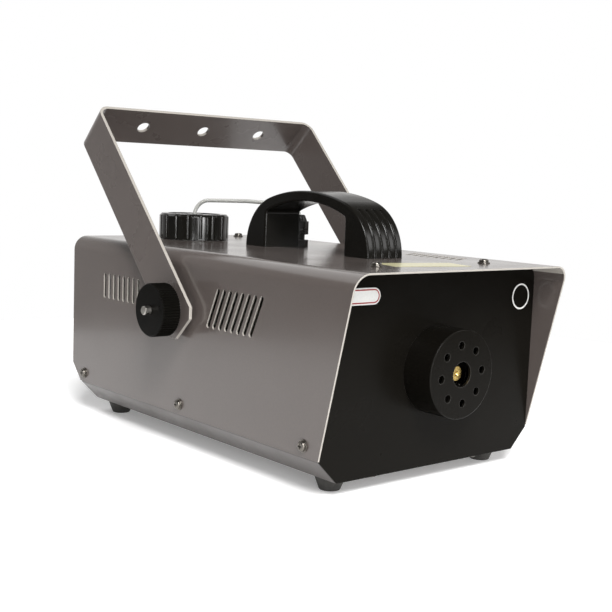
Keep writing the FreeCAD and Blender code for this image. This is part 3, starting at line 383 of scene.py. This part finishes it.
def cover_skin(center, normal):
    """True on the broad faces of the folded cover, round its long corners too."""
    outward = Vector((abs(center.x), 0, center.z)) - cover_corner
    if outward.x > 0 and outward.z > 0:
        skin = outward.normalized()
    elif outward.z > 0:
        skin = Vector((0, 0, 1))
    else:
        skin = Vector((1, 0, 0))
    across_sheet = Vector((abs(normal.x), 0, normal.z)).dot(skin)
    return abs(across_sheet) > ALONG_SKIN or abs(normal.x * skin.x) > ALONG_SKIN


def yoke_skin(center, normal):
    """True on the broad faces of the bent bar, which its cut edges run between."""
    across = Vector((0, math.cos(yoke_lean), -math.sin(yoke_lean)))
    along = Vector((0, math.sin(yoke_lean), math.cos(yoke_lean)))
    past_pivot = (center - yoke_pivot).dot(along)
    on_tail_cut = past_pivot < yoke_tail_start and abs(normal.x) < NOT_SIDEWAYS
    return abs(normal.dot(across)) < NOT_ALONG_CUT and not on_tail_cut


paint_cut_edges("cover", cover_skin)
paint_cut_edges("yoke", yoke_skin)


# ---- printed trim --------------------------------------------------------------------------------
def mount(piece, to_world, material, body):
    """Put a new piece in its place, give it its finish and let it move with a body."""
    scene.collection.objects.link(piece)
    piece.matrix_world = to_world
    piece.data.materials.append(material)
    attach(piece, body)


def plate_mesh(name, outline, thickness, to_world, material, body):
    """Thin plate with rounded edges from a closed outline in its own plane, placed by to_world."""
    mesh = bpy.data.meshes.new(name)
    build = bmesh.new()
    lower = [build.verts.new((x, y, 0)) for x, y in outline]
    face = build.faces.new(lower)
    grown = bmesh.ops.extrude_face_region(build, geom=[face])
    raised = [item for item in grown["geom"] if isinstance(item, bmesh.types.BMVert)]
    bmesh.ops.translate(build, verts=raised, vec=(0, 0, thickness))
    bmesh.ops.recalc_face_normals(build, faces=build.faces)
    build.to_mesh(mesh)
    build.free()
    piece = bpy.data.objects.new(name, mesh)
    bevel = piece.modifiers.new("soft edge", "BEVEL")
    bevel.width = thickness * 0.4
    bevel.segments = 2
    mount(piece, to_world, material, body)


def pill(half_long, half_short, steps=14):
    """Outline with two straight sides and two round ends."""
    points = []
    reach = half_long - half_short
    for side in (1, -1):
        for step in range(steps + 1):
            angle = math.pi * (step / steps - 0.5) + (0 if side == 1 else math.pi)
            points.append((side * reach + half_short * math.cos(angle), half_short * math.sin(angle)))
    return points


def band(name, outer, inner, thickness, to_world, material, body):
    """Closed band between two outlines with the same number of points."""
    mesh = bpy.data.meshes.new(name)
    count = len(outer)
    rings = [[(x, y, z) for x, y in outline] for outline, z in
             ((outer, 0), (outer, thickness), (inner, thickness), (inner, 0))]
    points = [point for ring in rings for point in ring]
    faces = []
    for level in range(4):
        for step in range(count):
            here = level * count + step
            beside = level * count + (step + 1) % count
            above = ((level + 1) % 4) * count + step
            above_beside = ((level + 1) % 4) * count + (step + 1) % count
            faces.append((here, beside, above_beside, above))
    mesh.from_pydata(points, [], faces)
    mount(bpy.data.objects.new(name, mesh), to_world, material, body)


def circle(radius, steps=64):
    return [(radius * math.cos(2 * math.pi * step / steps), radius * math.sin(2 * math.pi * step / steps))
            for step in range(steps)]


def printed(name, colour):
    """Slightly worn print or label under a thin gloss."""
    graph = Graph(name)
    wear = graph.noise(500.0, 4.0)
    base = graph.ramp(wear, [(0.3, scaled(colour, 0.93)), (0.7, colour)])
    rough = graph.spread(graph.noise(200.0, 3.0), 0.28, 0.42)
    return graph.set(Base_Color=base, Roughness=rough, Coat_Weight=0.3, Coat_Roughness=0.1)


panel_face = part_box("front_panel")[0].y
cover_top = cover_high.z

white_print = printed("white print", (0.72, 0.72, 0.70))
red_print = printed("red print", (0.30, 0.03, 0.03))
yellow_print = printed("yellow sticker", (0.62, 0.58, 0.33))


def on_panel(x, z, lift=0.0):
    """Frame whose plane lies on the front panel or lift in front of it, facing out."""
    return Matrix.Translation((x, panel_face - lift, z)) @ Matrix.Rotation(math.pi / 2, 4, "X")


badge_x = -0.086
badge_z = 0.158
badge_thickness = 0.0005
badge_outline = pill(0.019, 0.00675)
line_outside = pill(0.0178, 0.0056)
line_inside = pill(0.0168, 0.0046)
line_thickness = 0.0002
line_sink = 0.00002
plate_mesh("blank_badge", badge_outline, badge_thickness, on_panel(badge_x, badge_z), white_print,
           "housing")
band("blank_badge_line", line_outside, line_inside, line_thickness,
     on_panel(badge_x, badge_z, badge_thickness - line_sink), red_print, "housing")

mark_x = 0.1055
mark_z = 0.1505
mark_radius = 0.0115
mark_stroke = 0.0014
mark_thickness = 0.00015
band("plain_ring_mark", circle(mark_radius), circle(mark_radius - mark_stroke), mark_thickness,
     on_panel(mark_x, mark_z), white_print, "housing")

half_long = 0.037
half_short = 0.016
sticker_corners = [(-half_long, -half_short), (half_long, -half_short),
                   (half_long, half_short), (-half_long, half_short)]
sticker_thickness = 0.0002
sticker_turn = Matrix.Rotation(math.radians(-12.0), 4, "Z")
sticker_place = Matrix.Translation((-0.008, -0.168, cover_top)) @ sticker_turn
plate_mesh("blank_yellow_sticker", sticker_corners, sticker_thickness, sticker_place, yellow_print,
           "housing")


# ---- floor, light and camera ---------------------------------------------------------------------
def pale_floor(middle, radius):
    """White disc under the object, lit a little from itself."""
    mesh = bpy.data.meshes.new("floor")
    build = bmesh.new()
    bmesh.ops.create_circle(build, cap_ends=True, segments=96, radius=radius)
    build.to_mesh(mesh)
    build.free()
    floor = bpy.data.objects.new("floor", mesh)
    floor.location = middle
    scene.collection.objects.link(floor)
    graph = Graph("pale floor")
    graph.set(Base_Color=(0.92, 0.92, 0.92), Roughness=0.8, Emission_Color=(1.0, 1.0, 1.0),
              Emission_Strength=0.22)
    mesh.materials.append(graph.material)


def add_lamp(name, light, direction):
    lamp = bpy.data.objects.new(name, light)
    lamp.rotation_mode = "QUATERNION"
    lamp.rotation_quaternion = direction.to_track_quat("-Z", "Y")
    scene.collection.objects.link(lamp)
    return lamp


def softbox(name, place, aim, width, height, power):
    """Rectangular light that the camera doesn't see."""
    light = bpy.data.lights.new(name, "AREA")
    light.shape = "RECTANGLE"
    light.size = width
    light.size_y = height
    light.energy = power
    lamp = add_lamp(name, light, Vector(aim) - Vector(place))
    lamp.location = place
    lamp.visible_camera = False


def broad_sun(name, direction, strength, angle):
    """Soft sun whose disc is angle degrees across."""
    light = bpy.data.lights.new(name, "SUN")
    light.energy = strength
    light.angle = math.radians(angle)
    add_lamp(name, light, Vector(direction))


def studio_world(backdrop_side, backdrop, room):
    """White to the eye, a bright low backdrop on one side and a dimmer room around it in reflections."""
    world = bpy.data.worlds.new("studio")
    world.use_nodes = True
    tree = world.node_tree
    background = tree.nodes["Background"]

    def add(kind, operation=None):
        node = tree.nodes.new(kind)
        if operation:
            node.operation = operation
        return node

    def spread(value, from_low, from_high, low=0.0, high=1.0):
        node = add("ShaderNodeMapRange")
        ends = {"From Min": from_low, "From Max": from_high, "To Min": low, "To Max": high}
        for end, number in ends.items():
            node.inputs[end].default_value = number
        tree.links.new(value, node.inputs["Value"])
        return node.outputs["Result"]

    def combine(operation, one, two):
        node = add("ShaderNodeMath", operation)
        tree.links.new(one, node.inputs[0])
        tree.links.new(two, node.inputs[1])
        return node.outputs["Value"]

    place = add("ShaderNodeTexCoord").outputs["Generated"]
    toward = add("ShaderNodeVectorMath", "DOT_PRODUCT")
    toward.inputs[1].default_value = backdrop_side
    tree.links.new(place, toward.inputs[0])
    split = add("ShaderNodeSeparateXYZ")
    tree.links.new(place, split.inputs["Vector"])
    beside = spread(toward.outputs["Value"], 0.1, 0.8)
    low_down = spread(split.outputs["Z"], 0.65, 0.25)
    strength = spread(combine("MULTIPLY", beside, low_down), 0.0, 1.0, room, backdrop)
    tree.links.new(strength, background.inputs["Strength"])
    background.inputs["Color"].default_value = (1.0, 0.985, 0.97, 1)

    seen = add("ShaderNodeBackground")
    seen.inputs["Color"].default_value = (1, 1, 1, 1)
    path = add("ShaderNodeLightPath").outputs
    mix = add("ShaderNodeMixShader")
    tree.links.new(combine("MAXIMUM", path["Is Camera Ray"], path["Is Transmission Ray"]), mix.inputs["Fac"])
    tree.links.new(background.outputs["Background"], mix.inputs[1])
    tree.links.new(seen.outputs["Background"], mix.inputs[2])
    tree.links.new(mix.outputs["Shader"], tree.nodes["World Output"].inputs["Surface"])
    scene.world = world


pale_floor(middle=(0.05, 0.05, 0), radius=0.8)
studio_world(backdrop_side=(0.64, 0.76, 0), backdrop=0.9, room=0.08)
broad_sun("key light", direction=(0.36, 0.70, -0.85), strength=3.6, angle=22)
softbox("strip light", place=(-0.85, -1.0, 0.5), aim=(0, 0.1, 0.2), width=0.05, height=0.6, power=1.6)
softbox("low front softbox", place=(-0.3, -1.5, 0.15), aim=(0, 0.2, 0.35), width=0.6, height=0.3, power=9)
softbox("overhead softbox", place=(-0.2, 1.2, 1.6), aim=(0, 0.1, 0.2), width=2.4, height=1.0, power=9)
softbox("front softbox", place=(-0.9, -1.6, 0.9), aim=(0, 0, 0.12), width=0.25, height=0.9, power=7)
softbox("side softbox", place=(1.1, -1.2, 0.9), aim=(0, -0.1, 0.15), width=0.4, height=0.9, power=5.5)

FOCAL = 63.2
YAW = math.radians(-39.99)
PITCH = math.radians(-6.72)
ROLL = math.radians(2.19)
camera_place = Vector((-0.6504, -0.7854, 0.2464))
ahead = Vector((-math.sin(YAW) * math.cos(PITCH), math.cos(YAW) * math.cos(PITCH), math.sin(PITCH)))
level_right = Vector((math.cos(YAW), math.sin(YAW), 0))
level_up = level_right.cross(ahead)
right = level_right * math.cos(ROLL) + level_up * math.sin(ROLL)
up = level_up * math.cos(ROLL) - level_right * math.sin(ROLL)
camera_data = bpy.data.cameras.new("camera")
camera_data.lens = FOCAL
camera_data.sensor_width = 36.0
camera_data.clip_start = 0.01
camera_data.clip_end = 50.0
camera = bpy.data.objects.new("camera", camera_data)
scene.collection.objects.link(camera)
turn = Matrix((right, up, -ahead)).transposed()
camera.matrix_world = Matrix.Translation(camera_place) @ turn.to_4x4()
scene.camera = camera
